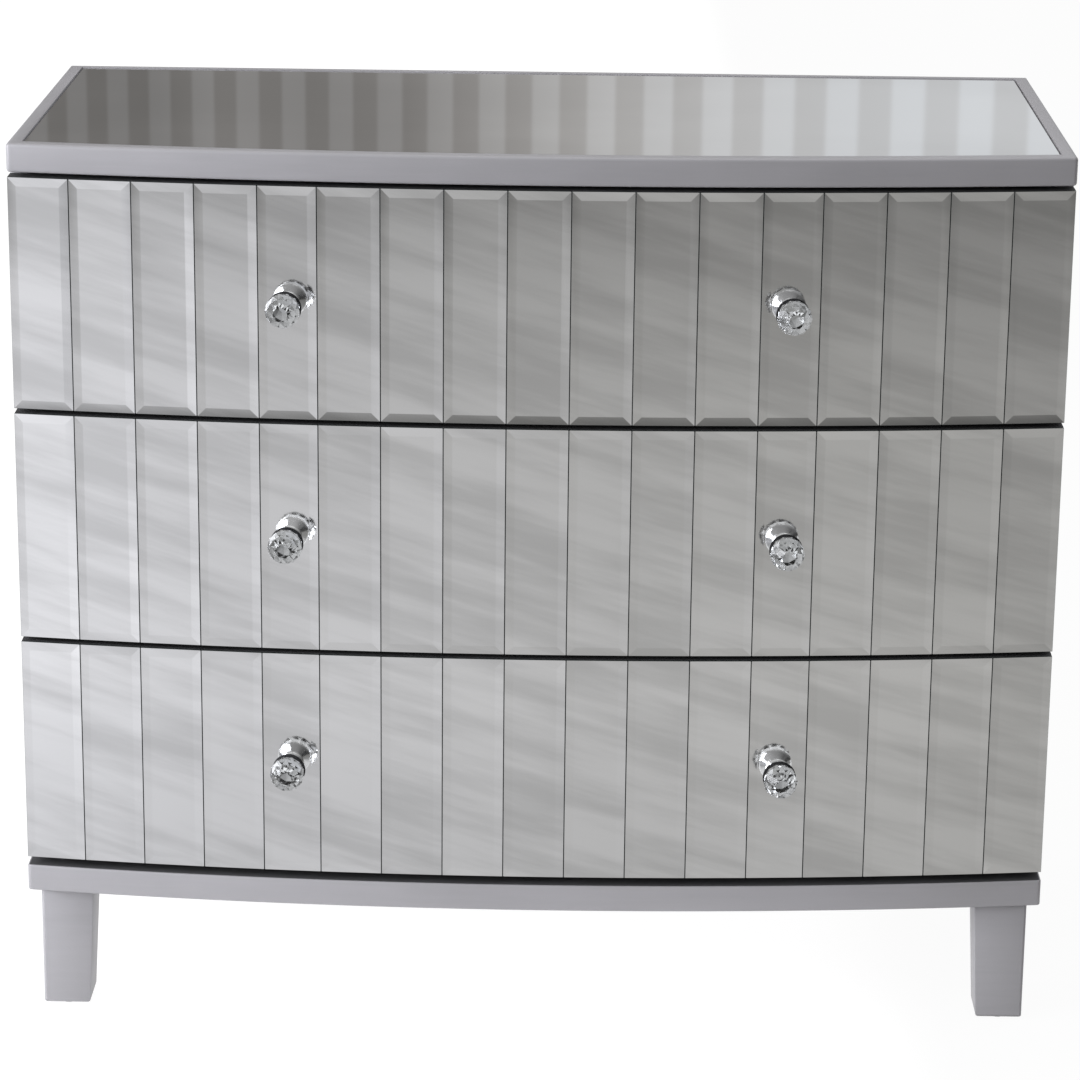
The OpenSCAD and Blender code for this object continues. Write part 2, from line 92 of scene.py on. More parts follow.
def strip_seams():
    """Where the seams between the strips lie along X, from left to right."""
    plain = [STRIP_WIDTH] * 3
    half = [STRIP_WIDTH / 2, *plain, KNOB_STRIP_WIDTH, *plain, END_STRIP_WIDTH]
    right = [sum(half[: i + 1]) for i in range(len(half))]
    return [-x for x in reversed(right)] + right


SEAM_TURNS = [math.asin(x / BOW_RADIUS) for x in strip_seams()]


def strip_turn(k):
    """How far strip k is turned from the middle of the bow."""
    return (SEAM_TURNS[k] + SEAM_TURNS[k + 1]) / 2


def strip_back_radius(k):
    """Distance of the back of strip k from the middle of the bow's circle."""
    half_turn = (SEAM_TURNS[k + 1] - SEAM_TURNS[k]) / 2
    return (BOW_RADIUS - GLASS_THICK) * math.cos(half_turn)


def strip_width(k):
    """Width of the glass of strip k."""
    half_turn = (SEAM_TURNS[k + 1] - SEAM_TURNS[k]) / 2
    return 2 * (BOW_RADIUS - GLASS_THICK) * math.sin(half_turn) - STRIP_GAP


def on_strip(k, radius, z=0.0):
    """Takes a shape whose front faces -Y onto strip k, at this distance from the bow's middle."""
    centre = Matrix.Translation((0, BOW_CENTRE_Y, z))
    return centre @ Matrix.Rotation(strip_turn(k), 4, "Z") @ Matrix.Translation((0, -radius, 0))


class GlassSettings(bpy.types.PropertyGroup):
    """Sizes and colours of the mirror glass."""

    bevel_width: FloatProperty(
        name="Bevel width", description="Width of the bevel round each strip", default=0.0085, unit="LENGTH"
    )
    bevel_drop: FloatProperty(
        name="Bevel drop",
        description="How much thinner the glass is at its edge",
        default=0.0011,
        unit="LENGTH",
    )
    ridge: FloatProperty(
        name="Ridge", description="Softening of the ridges of the bevel", default=0.00025, unit="LENGTH"
    )
    light_tint: FloatVectorProperty(
        name="Light tint",
        description="Silvering where it is brightest",
        default=(0.875, 0.875, 0.88),
        subtype="COLOR",
    )
    # The darker tint gives the strips slanting streaks of painted reflection, and the top mirror random
    # smudges
    dark_reflection_and_smudge_tint: FloatVectorProperty(
        name="Dark tint",
        description="Silvering in its darker streaks",
        default=(0.685, 0.685, 0.687),
        subtype="COLOR",
    )


class PaintSettings(bpy.types.PropertyGroup):
    """Colours of the silver paint."""

    light: FloatVectorProperty(
        name="Light",
        description="Silver paint where it is brightest",
        default=(0.422, 0.413, 0.433),
        subtype="COLOR",
    )
    dark: FloatVectorProperty(
        name="Dark",
        description="Silver paint in its darker clouds",
        default=(0.382, 0.374, 0.392),
        subtype="COLOR",
    )
    edge: FloatProperty(
        name="Edge", description="Rounding of the lesser edges of the boards", default=0.0008, unit="LENGTH"
    )
    bow_sides: IntProperty(
        name="Bow", description="Sides of the circle that gives the bow", default=1440, min=360
    )


class KnobSettings(bpy.types.PropertyGroup):
    """Sizes and colours of the knobs."""

    sides: IntProperty(name="Sides", description="Sides of the turned chrome mount", default=64, min=16)
    crystal: FloatVectorProperty(
        name="Crystal", description="Colour of the crystal", subtype="COLOR", default=(0.86, 0.875, 0.89)
    )
    chrome: FloatVectorProperty(
        name="Chrome", description="Colour of the chrome", subtype="COLOR", default=(0.86, 0.87, 0.88)
    )


class StageSettings(bpy.types.PropertyGroup):
    """Sizes of the stage and strengths of its lamps."""

    floor_size: FloatProperty(name="Floor", description="Width of the floor", default=40.0, unit="LENGTH")
    key_power: FloatProperty(
        name="Key lamp", description="Power of the large lamp at the left", default=96.0, unit="POWER"
    )
    key_colour: FloatVectorProperty(
        name="Key colour",
        description="Colour of the lamp at the left",
        default=(0.93, 0.95, 1.0),
        subtype="COLOR",
    )
    top_power: FloatProperty(
        name="Top lamp", description="Power of the lamp above", default=14.0, unit="POWER"
    )


class Wire:
    """A socket of a material, with Python's operators as Math nodes."""

    def __init__(self, finish, socket):
        self.finish = finish
        self.socket = socket

    def maths(self, operation, first, second):
        """A Math node on two values."""
        return self.finish.node("ShaderNodeMath", {"operation": operation}, {0: first, 1: second})

    def __add__(self, other):
        return self.maths("ADD", self, other)

    __radd__ = __add__

    def __mul__(self, other):
        return self.maths("MULTIPLY", self, other)

    __rmul__ = __mul__

    def __sub__(self, other):
        return self.maths("SUBTRACT", self, other)

    def __rsub__(self, other):
        return self.maths("SUBTRACT", other, self)

    def __truediv__(self, other):
        return self.maths("DIVIDE", self, other)

    def __rtruediv__(self, other):
        return self.maths("DIVIDE", other, self)


class Finish:
    """A material built from nodes, with one Principled shader unless another surface is given."""

    def __init__(self, name, tree=None):
        self.material = None
        if tree is None:
            self.material = bpy.data.materials.new(name)
            self.material.use_nodes = True
            tree = self.material.node_tree
        self.tree = tree
        self.tree.nodes.clear()

    def node(self, kind, settings=None, sockets=None, out=0):
        """Adds a node, sets it, fills its sockets and returns one of its outputs."""
        made = self.tree.nodes.new(kind)
        for key, value in (settings or {}).items():
            if key == "stops":
                self.set_stops(made.color_ramp, value)
            else:
                setattr(made, key, value)
        for key, value in (sockets or {}).items():
            if isinstance(value, Wire):
                self.tree.links.new(value.socket, made.inputs[key])
            else:
                made.inputs[key].default_value = value
        return Wire(self, made.outputs[out]) if len(made.outputs) else None

    @staticmethod
    def set_stops(ramp, stops):
        """Gives a colour ramp these stops, each a place and a colour."""
        while len(ramp.elements) < len(stops):
            ramp.elements.new(1.0)
        for element, (place, colour) in zip(ramp.elements, stops):
            element.position = place
            element.color = (*colour, 1.0)

    def place(self, scale=(1, 1, 1), turn=(0, 0, 0)):
        """Object coordinates, stretched and turned."""
        coordinates = self.node("ShaderNodeTexCoord", out="Object")
        return self.node("ShaderNodeMapping", {}, {"Vector": coordinates, "Rotation": turn, "Scale": scale})

    def noise(self, vector, scale, detail=2.0, roughness=0.5):
        """Noise between 0 and 1."""
        sockets = {"Vector": vector, "Scale": scale, "Detail": detail, "Roughness": roughness}
        return self.node("ShaderNodeTexNoise", {}, sockets)

    def spread(self, value, low, high, to_low=0.0, to_high=1.0):
        """Takes low to high onto to_low to to_high, smoothly and within them."""
        sockets = {"Value": value, "From Min": low, "From Max": high, "To Min": to_low, "To Max": to_high}
        return self.node("ShaderNodeMapRange", {"interpolation_type": "SMOOTHSTEP"}, sockets)

    def levels(self, value, low, high, stops):
        """A grey level that follows stops, each a value between low and high and its level."""
        placed = [((at - low) / (high - low), (level, level, level)) for at, level in stops]
        share = (value - low) / (high - low)
        return self.node("ShaderNodeValToRGB", {"stops": placed}, {"Fac": share})

    def mix(self, share, first, second):
        """A colour between two colours."""
        sockets = {"Factor": share, 6: first, 7: second}
        return self.node("ShaderNodeMix", {"data_type": "RGBA"}, sockets, out=2)

    def bump(self, height, strength, distance):
        """A normal that follows this height."""
        sockets = {"Height": height, "Strength": strength, "Distance": distance}
        return self.node("ShaderNodeBump", {}, sockets)

    def surface(self, sockets):
        """Ends the material with a Principled shader."""
        return self.end(self.node("ShaderNodeBsdfPrincipled", {}, sockets))

    def end(self, shader, kind="ShaderNodeOutputMaterial"):
        """Links the last shader to the output."""
        self.node(kind, {}, {"Surface": shader})
        return self.material


def colour(value):
    """A colour setting as red, green, blue and alpha."""
    return (*value, 1.0)


def silver_paint(settings):
    """Satin silver lacquer, laid on with a wide brush: faint clouds, level strokes and fine flakes."""
    finish = Finish("silver_paint")
    clouds = finish.noise(finish.place(), 5.0, 3.0)
    strokes = finish.noise(finish.place(scale=(6.0, 6.0, 90.0)), 2.0, 3.0, 0.6)
    flakes = finish.noise(finish.place(), 1900.0, 1.0)
    share = finish.spread(clouds * 0.6 + strokes * 0.22 + flakes * 0.18, 0.36, 0.64)
    height = strokes * 0.35 + flakes * 0.65
    return finish.surface(
        {
            "Base Color": finish.mix(share, colour(settings.dark), colour(settings.light)),
            "Metallic": 0.22,
            "Roughness": 0.44 + clouds * 0.12,
            "Coat Weight": 0.05,
            "Coat Roughness": 0.25,
            "Normal": finish.bump(height, 0.08, 0.0003),
        }
    )


def gap_shade_paint():
    """Charcoal on the boards behind the gaps: painted shade that makes them as dark as deep shadow."""
    finish = Finish("charcoal_gap_shade")
    grain = finish.noise(finish.place(scale=(2.0, 2.0, 90.0)), 6.0, 3.0)
    shade = finish.mix(grain, (0.06, 0.06, 0.063, 1.0), (0.10, 0.10, 0.104, 1.0))
    return finish.surface({"Base Color": shade, "Roughness": 0.6 + grain * 0.2})


def strip_mirror(settings):
    """Silvered glass, whose colour carries faint slanting streaks of painted reflection, shifted from strip
    to strip.

    A bevel on the outer face of a back-silvered mirror deviates light towards the thick glass, as a prism
    does, so the normal leans the other way from the bevel, by about half of its slope.
    """
    finish = Finish("strip_mirror")
    lean = 0.52
    reflection_streak_turn = (0, math.radians(-17), 0)
    front = finish.node("ShaderNodeAttribute", {"attribute_name": "glass_front"}, out="Vector")
    number = finish.node("ShaderNodeAttribute", {"attribute_name": "strip_number"}, out="Fac")
    shape = finish.node("ShaderNodeNewGeometry", out="Normal")
    from_front = finish.node("ShaderNodeVectorMath", {"operation": "SUBTRACT"}, {0: shape, 1: front})
    leaned = finish.node("ShaderNodeVectorMath", {"operation": "SCALE"}, {0: from_front, "Scale": -lean})
    toward = finish.node("ShaderNodeVectorMath", {"operation": "ADD"}, {0: front, 1: leaned})
    normal = finish.node("ShaderNodeVectorMath", {"operation": "NORMALIZE"}, {0: toward})
    # Painted reflection: slanting streaks darken the silvering, shifted for each strip so that neighbours
    # differ
    shift = finish.node("ShaderNodeCombineXYZ", {}, {"X": number * 0.37, "Z": number * 0.61})
    moved = finish.node("ShaderNodeVectorMath", {"operation": "ADD"}, {0: finish.place(), 1: shift})
    turned = finish.node("ShaderNodeMapping", {}, {"Vector": moved, "Rotation": reflection_streak_turn})
    along = finish.node("ShaderNodeMapping", {}, {"Vector": turned, "Scale": (1.2, 1.0, 11.0)})
    wide = finish.noise(along, 2.4, 3.0, 0.55)
    fine = finish.noise(along, 9.0, 4.0, 0.65)
    share = finish.spread(wide * 0.8 + fine * 0.2, 0.34, 0.64)
    return finish.surface(
        {
            "Base Color": finish.mix(share, colour(settings.dark_reflection_and_smudge_tint), colour(settings.light_tint)),
            "Metallic": 1.0,
            "Roughness": 0.05 + fine * 0.06,
            "Normal": normal,
        }
    )


def top_mirror_finish(settings):
    """The inset sheet of mirror, with the same silvering but no bevel."""
    finish = Finish("top_mirror_silvering")
    smudge = finish.noise(finish.place(), 3.0, 3.0)
    share = finish.spread(smudge, 0.35, 0.65, 0.4, 0.9)
    return finish.surface(
        {
            "Base Color": finish.mix(share, colour(settings.dark_reflection_and_smudge_tint), colour(settings.light_tint)),
            "Metallic": 1.0,
            "Roughness": 0.012 + smudge * 0.03,
        }
    )


def shaded_glass_edge():
    """The ground edges of the glass, grey green, darkened nearly to black as painted shade for the seams
    between the strips.
    """
    finish = Finish("ground_glass_edge_seam_shade")
    grain = finish.noise(finish.place(), 900.0, 2.0)
    shade = finish.mix(grain, (0.025, 0.03, 0.03, 1.0), (0.05, 0.058, 0.057, 1.0))
    return finish.surface({"Base Color": shade, "Roughness": 0.35 + grain * 0.2, "Specular IOR Level": 0.3})


def chrome(settings):
    """Polished chrome with faint smudges."""
    finish = Finish("knob_chrome")
    smudge = finish.noise(finish.place(), 120.0, 3.0)
    light = colour(settings.chrome)
    dark = tuple(0.88 * value for value in settings.chrome) + (1.0,)
    return finish.surface(
        {"Base Color": finish.mix(smudge, dark, light), "Metallic": 1.0, "Roughness": 0.03 + smudge * 0.06}
    )


def shaded_lip():
    """Near-black lip of the cup, where it clasps the crystal: painted shade for the dark gap round the
    crystal.
    """
    finish = Finish("cup_lip_painted_shade")
    smudge = finish.noise(finish.place(), 200.0, 2.0)
    shade = finish.mix(smudge, (0.02, 0.02, 0.022, 1.0), (0.045, 0.045, 0.048, 1.0))
    return finish.surface({"Base Color": shade, "Metallic": 0.6, "Roughness": 0.3 + smudge * 0.15})


def crystal(settings):
    """Clear cut crystal, a little smudged where fingers hold it."""
    finish = Finish("cut_crystal")
    smudge = finish.spread(finish.noise(finish.place(), 90.0, 2.0), 0.45, 0.75, 0.0, 0.05)
    return finish.surface(
        {
            "Base Color": colour(settings.crystal),
            "Roughness": smudge,
            "IOR": 1.54,
            "Transmission Weight": 1.0,
        }
    )


def drawer_board(name, across):
    """Clear-lacquered pale board, whose straight grain runs at right angles to this axis."""
    finish = Finish(name)
    along = Vector((1, 1, 1)) - across
    grain = finish.noise(finish.place(scale=along * 2.0 + across * 60.0), 4.0, 5.0, 0.6)
    pores = finish.noise(finish.place(scale=along * 12.0 + across * 400.0), 5.0, 2.0)
    light, middle, dark = (0.71, 0.56, 0.38), (0.60, 0.45, 0.29), (0.47, 0.33, 0.20)
    stops = [(0.3, dark), (0.5, middle), (0.72, light)]
    ramp = finish.node("ShaderNodeValToRGB", {"stops": stops}, {"Fac": grain})
    return finish.surface(
        {
            "Base Color": ramp,
            "Roughness": 0.42 + pores * 0.16,
            "Normal": finish.bump(grain * 0.6 + pores * 0.4, 0.15, 0.0004),
        }
    )


def zinc_steel():
    """Zinc-plated steel, drawn along its length."""
    finish = Finish("zinc_steel")
    drawn = finish.noise(finish.place(scale=(400.0, 4.0, 400.0)), 2.0, 3.0)
    cloud = finish.noise(finish.place(), 26.0, 3.0)
    shade = finish.mix(drawn * 0.6 + cloud * 0.4, (0.50, 0.51, 0.53, 1.0), (0.70, 0.71, 0.73, 1.0))
    return finish.surface({"Base Color": shade, "Metallic": 1.0, "Roughness": 0.24 + cloud * 0.16})


def glide_plastic():
    """Moulded black plastic."""
    finish = Finish("glide_plastic")
    grain = finish.noise(finish.place(), 700.0, 2.0)
    shade = finish.mix(grain, (0.018, 0.018, 0.02, 1.0), (0.04, 0.04, 0.043, 1.0))
    return finish.surface(
        {"Base Color": shade, "Roughness": 0.45 + grain * 0.15, "Normal": finish.bump(grain, 0.1, 0.0003)}
    )


def select_only(piece):
    """Makes this the one selected and active object."""
    bpy.ops.object.select_all(action="DESELECT")
    piece.select_set(True)
    bpy.context.view_layer.objects.active = piece


def dress(node, finish):
    """Gives a CAD node this material all over."""
    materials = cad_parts[node].data.materials
    materials.clear()
    materials.append(finish)


def add_box(name, low, high):
    """A box between two corners, with its place in its mesh."""
    bpy.ops.object.select_all(action="DESELECT")
    middle = (Vector(low) + Vector(high)) / 2
    bpy.ops.mesh.primitive_cube_add(size=1.0, location=middle, scale=Vector(high) - Vector(low))
    bpy.ops.object.transform_apply(location=True, rotation=True, scale=True)
    bpy.context.object.name = name
    return bpy.context.object


def combine(piece, other, operation):
    """Joins, cuts or crops a piece with another one, which is used up."""
    modifier = piece.modifiers.new("combine", "BOOLEAN")
    modifier.operation = operation
    modifier.solver = "EXACT"
    modifier.object = other
    apply_modifiers(piece)
    bpy.data.objects.remove(other)
    return piece


def edit_edges(piece, edges):
    """Goes into edit mode with these edges selected."""
    chosen = {edge.index for edge in edges}
    select_only(piece)
    bpy.ops.object.mode_set(mode="EDIT")
    bpy.ops.mesh.select_mode(type="EDGE")
    bpy.ops.mesh.select_all(action="DESELECT")
    bpy.ops.object.mode_set(mode="OBJECT")
    for edge in piece.data.edges:
        edge.select = edge.index in chosen
    bpy.ops.object.mode_set(mode="EDIT")


def edit_faces(piece, chosen):
    """Goes into edit mode with the faces for which chosen(face) is true selected."""
    select_only(piece)
    bpy.ops.object.mode_set(mode="EDIT")
    bpy.ops.mesh.select_mode(type="FACE")
    bpy.ops.mesh.select_all(action="DESELECT")
    bpy.ops.object.mode_set(mode="OBJECT")
    for face in piece.data.polygons:
        face.select = chosen(face)
    bpy.ops.object.mode_set(mode="EDIT")


def bake_place(piece, matrix):
    """Moves the mesh itself by a matrix, so that the object stays at the origin, unturned and unscaled."""
    piece.data.transform(matrix)
    piece.data.update()


def duplicate(piece, name, matrix):
    """A copy with its own mesh, moved by a matrix."""
    twin = piece.copy()
    twin.data = piece.data.copy()
    twin.name = name
    bpy.context.collection.objects.link(twin)
    bake_place(twin, matrix)
    return twin


def join(pieces, name):
    """Joins pieces into the first one and names it."""
    select_only(pieces[0])
    for piece in pieces:
        piece.select_set(True)
    bpy.ops.object.join()
    pieces[0].name = name
    return pieces[0]


def apply_modifiers(piece):
    """Applies all the modifiers of a piece in order."""
    select_only(piece)
    for modifier in list(piece.modifiers):
        bpy.ops.object.modifier_apply(modifier=modifier.name)


def add_bevel(piece, width, segments, angle):
    """Softens the edges that are sharper than this angle."""
    modifier = piece.modifiers.new("soft_edges", "BEVEL")
    modifier.width = width
    modifier.segments = segments
    modifier.limit_method = "ANGLE"
    modifier.angle_limit = angle
    modifier.harden_normals = False
    return modifier


def smooth_by_angle(piece, angle):
    """Smooth shading, except over edges sharper than this angle."""
    select_only(piece)
    bpy.ops.object.shade_smooth_by_angle(angle=angle)


def stands_for(piece, body, node):
    """The piece rides on its body and stands for a node, which is hidden."""
    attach(piece, body)
    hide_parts(node)


class CHEST_OT_stage(bpy.types.Operator):
    """Sets up the floor, the surroundings, the lamps and the camera"""

    bl_idname = "chest.stage"
    bl_label = "Stage"

    # Where the lamps stand, what they are turned to, and the widths of their squares
    KEY_PLACE, KEY_AIM, KEY_SIZE = (-2.6, -1.5, 1.35), (-0.2, -0.1, 0.45), 2.4
    TOP_PLACE, TOP_AIM, TOP_SIZE = (0.2, 0.4, 3.2), (0.0, 0.0, 0.6), 2.4
    # How bright the floor glows, and how far behind the chest's corners the ways across it start
    FLOOR_GLOW = 1.19
    WAYS_START = 2.8
    # Painted brightness of the floor as the mirrors see it, against the way to it, as metres aside for each
    # metre ahead of the ways' start
    SIDE_LEVELS = (
        (-0.44, 0.52), (-0.39, 0.61), (-0.35, 0.72), (-0.31, 0.84), (-0.27, 0.85), (-0.22, 0.72),
        (-0.15, 0.61), (-0.07, 0.56), (0.0, 0.49), (0.08, 0.455), (0.16, 0.415), (0.24, 0.36), (0.32, 0.32),
    )
    # Painted brightness of the floor as the mirrors see it, against how far ahead of the chest's corners it
    # lies, in metres
    AHEAD_LEVELS = (
        (0.4, 0.90), (0.7, 0.93), (1.0, 1.0), (1.3, 0.95), (1.6, 0.89), (2.0, 0.85), (2.4, 0.81),
        (3.0, 0.74), (3.7, 0.61), (4.4, 0.34), (5.5, 0.26),
    )
    # Painted colour cast of the floor that the mirrors see at the left and at the right
    COOL = (0.98, 0.985, 1.02, 1.0)
    WARM = (1.01, 1.0, 0.965, 1.0)
    # Brightness of the surroundings overhead, and in front at the left, the right, and higher at the right
    OVERHEAD = 0.72
    FRONT_LEFT, FRONT_RIGHT, FRONT_RIGHT_ABOVE = 0.95, 0.11, 0.27
    # Brightness of the surroundings behind the chest, against the X of the way to them
    BEHIND_LEVELS = (
        (-0.6, 0.68), (-0.35, 0.52), (-0.18, 0.25), (-0.117, 0.24), (-0.099, 0.30), (-0.075, 0.285),
        (-0.05, 0.32), (-0.027, 0.44), (0.005, 0.62), (0.037, 0.72), (0.1, 0.81),
    )
    # Upright bands of equal width on a wall that comes nearer to the right: where the first one starts, as
    # X / Y of the way to it, how wide one is there, and how fast the wall comes nearer
    BANDS_START = -0.1091
    BAND_WIDTH = 0.00669
    WALL_SLANT = 1.073
    # Strength of the surroundings, and the brightness that makes them pure white to the camera
    SKY_STRENGTH = 0.8
    WHITE_TO_CAMERA = 1.3

    def execute(self, context):
        settings = context.scene.chest_stage
        self.camera(context)
        self.floor(settings)
        self.world(context)
        key = self.lamp("key_lamp", self.KEY_PLACE, self.KEY_AIM, self.KEY_SIZE, settings.key_power)
        key.data.color = settings.key_colour
        self.lamp("top_lamp", self.TOP_PLACE, self.TOP_AIM, self.TOP_SIZE, settings.top_power)
        context.scene.view_settings.view_transform = "Standard"
        return {"FINISHED"}

    def camera(self, context):
        """The photograph's own viewpoint: a long lens a little right of the middle, looking down."""
        place = Vector((0.0506, CORNER_Y - 3.4507, 1.5263))
        pitch_down = 0.2903
        yaw_left = 0.0138
        roll = 0.0105
        focal_px = 3735.9
        image_px = 1080
        bpy.ops.object.select_all(action="DESELECT")
        bpy.ops.object.camera_add()
        camera = context.object
        camera.name = "photo_camera"
        camera.data.sensor_width = 36.0
        camera.data.lens = focal_px / image_px * camera.data.sensor_width
        camera.data.clip_end = 200.0
        turn = Matrix.Rotation(yaw_left, 4, "Z")
        turn = turn @ Matrix.Rotation(math.pi / 2 - pitch_down, 4, "X")
        turn = turn @ Matrix.Rotation(roll, 4, "Z")
        camera.matrix_world = Matrix.Translation(place) @ turn
        context.scene.camera = camera

    def floor(self, settings):
        """A floor that the camera sees white, with painted light and shade for the rest: the mirrors see it
        greyer in front of the chest and brighter at the left, and its diffuse colour is lighter near the
        chest and darker by the right foot.
        """
        bpy.ops.object.select_all(action="DESELECT")
        bpy.ops.mesh.primitive_plane_add(size=settings.floor_size, location=(0, 0, 0))
        floor = bpy.context.object
        floor.name = "floor"
        finish = Finish("pale_floor")
        place = finish.node("ShaderNodeTexCoord", out="Object")
        x = finish.node("ShaderNodeSeparateXYZ", {}, {0: place}, out="X")
        y = finish.node("ShaderNodeSeparateXYZ", {}, {0: place}, out="Y")
        camera_ray = finish.node("ShaderNodeLightPath", out="Is Camera Ray")
        glossy = finish.node("ShaderNodeLightPath", out="Is Glossy Ray")
        through = finish.node("ShaderNodeLightPath", out="Is Transmission Ray")
        near = finish.spread(y, CORNER_Y - 0.42, CORNER_Y - 0.17)
        near = near + camera_ray - near * camera_ray
        ahead = CORNER_Y - y
        aside = x / (ahead + self.WAYS_START)
        side = finish.levels(aside, -0.5, 0.4, self.SIDE_LEVELS)
        far = finish.levels(ahead, 0.0, 6.0, self.AHEAD_LEVELS)
        far_right = finish.spread(aside, -0.07, 0.02) * finish.spread(ahead, 2.4, 3.6)
        far_left = (1 - finish.spread(aside, -0.30, -0.23)) * finish.spread(ahead, 2.2, 3.4)
        # Painted light: the glow that the mirrors see falls off ahead of the chest and towards the right
        tone = near + (1 - near) * far * side * (1.0 - far_right * 0.09 + far_left * 0.15)
        cast = finish.mix(finish.spread(aside + ahead * 0.045, -0.25, 0.32), self.COOL, self.WARM)
        shown = finish.mix(near, cast, (1.0, 1.0, 1.0, 1.0))
        tint = finish.node("ShaderNodeVectorMath", {"operation": "SCALE"}, {0: shown, "Scale": tone})
        glow = finish.node("ShaderNodeEmission", {}, {"Color": tint, "Strength": self.FLOOR_GLOW})
        # Painted light and shadow in the diffuse colour: lighter near the chest at the left, with a painted
        # shadow by the right foot
        near_chest_light = finish.spread(y, CORNER_Y - 0.9, CORNER_Y - 0.3) * finish.spread(x, 0.3, 0.75, 1.0, 0.1)
        right_foot_shadow = finish.spread(y, CORNER_Y - 0.3, CORNER_Y - 0.15) * finish.spread(x, 0.25, 0.42)
        painted_bounce = finish.mix(near_chest_light * (1 - right_foot_shadow), (0.2, 0.2, 0.2, 1.0), (0.96, 0.96, 0.96, 1.0))
        matte = finish.node("ShaderNodeBsdfDiffuse", {}, {"Color": painted_bounce})
        seen = camera_ray * 0.8 + glossy + through
        mixed = finish.node("ShaderNodeMixShader", {}, {0: seen, 1: matte, 2: glow})
        floor.data.materials.append(finish.end(mixed))

    def world(self, context):
        """Soft surroundings, lighter at the left and overhead, with a banded wall behind the chest.

        The camera sees them white. The rest is for the mirrors, the crystals and the paint.
        """
        world = bpy.data.worlds.new("studio")
        world.use_nodes = True
        context.scene.world = world
        finish = Finish("studio", world.node_tree)
        way = finish.node("ShaderNodeTexCoord", out="Generated")
        up = finish.node("ShaderNodeSeparateXYZ", {}, {0: way}, out="Z")
        right = finish.node("ShaderNodeSeparateXYZ", {}, {0: way}, out="X")
        back = finish.node("ShaderNodeSeparateXYZ", {}, {0: way}, out="Y")
        behind = finish.spread(back, 0.1, 0.5)
        rise = finish.spread(up, 0.35, 0.9)
        along = right / back
        bands = (along - self.BANDS_START) / (1 + along * self.WALL_SLANT) * (math.pi / self.BAND_WIDTH)
        wave = finish.node("ShaderNodeMath", {"operation": "SINE"}, {0: bands})
        near_wall = finish.spread(right, -0.22, -0.16) * (1 - finish.spread(right, 0.16, 0.22)) * behind
        band = finish.spread(wave, -0.3, 0.3, -1.0, 1.0) * near_wall
        low_back = finish.levels(right, -0.6, 0.2, self.BEHIND_LEVELS)
        low_back = low_back * (1 + band * finish.spread(right, -0.1, 0.12, 0.12, 0.075))
        front_right = finish.spread(up, 0.1, 0.3, self.FRONT_RIGHT, self.FRONT_RIGHT_ABOVE)
        low_front = finish.spread(right, -0.6, 0.6, self.FRONT_LEFT, front_right)
        low = behind * low_back + (1 - behind) * low_front
        tone = rise * self.OVERHEAD + (1 - rise) * low
        camera_ray = finish.node("ShaderNodeLightPath", out="Is Camera Ray")
        tone = tone * (1 - camera_ray) + camera_ray * self.WHITE_TO_CAMERA
        blue = finish.spread(right, -0.06, 0.1, 0.94, 1.045) + band * 0.015
        blue = blue * behind + (1 - behind) * 0.985
        green = blue * 0.5 + 0.5
        tint = finish.node("ShaderNodeCombineColor", {}, {0: tone, 1: tone * green, 2: tone * blue})
        sky = finish.node("ShaderNodeBackground", {}, {"Color": tint, "Strength": self.SKY_STRENGTH})
        finish.end(sky, "ShaderNodeOutputWorld")

    def lamp(self, name, place, aim, size, power):
        """A square area lamp at a place, turned towards a point."""
        bpy.ops.object.select_all(action="DESELECT")
        bpy.ops.object.light_add(type="AREA", location=place)
        lamp = bpy.context.object
        lamp.name = name
        lamp.data.shape = "SQUARE"
        lamp.data.size = size
        lamp.data.energy = power
        lamp.rotation_euler = (Vector(aim) - Vector(place)).to_track_quat("-Z", "Y").to_euler()
        return lamp


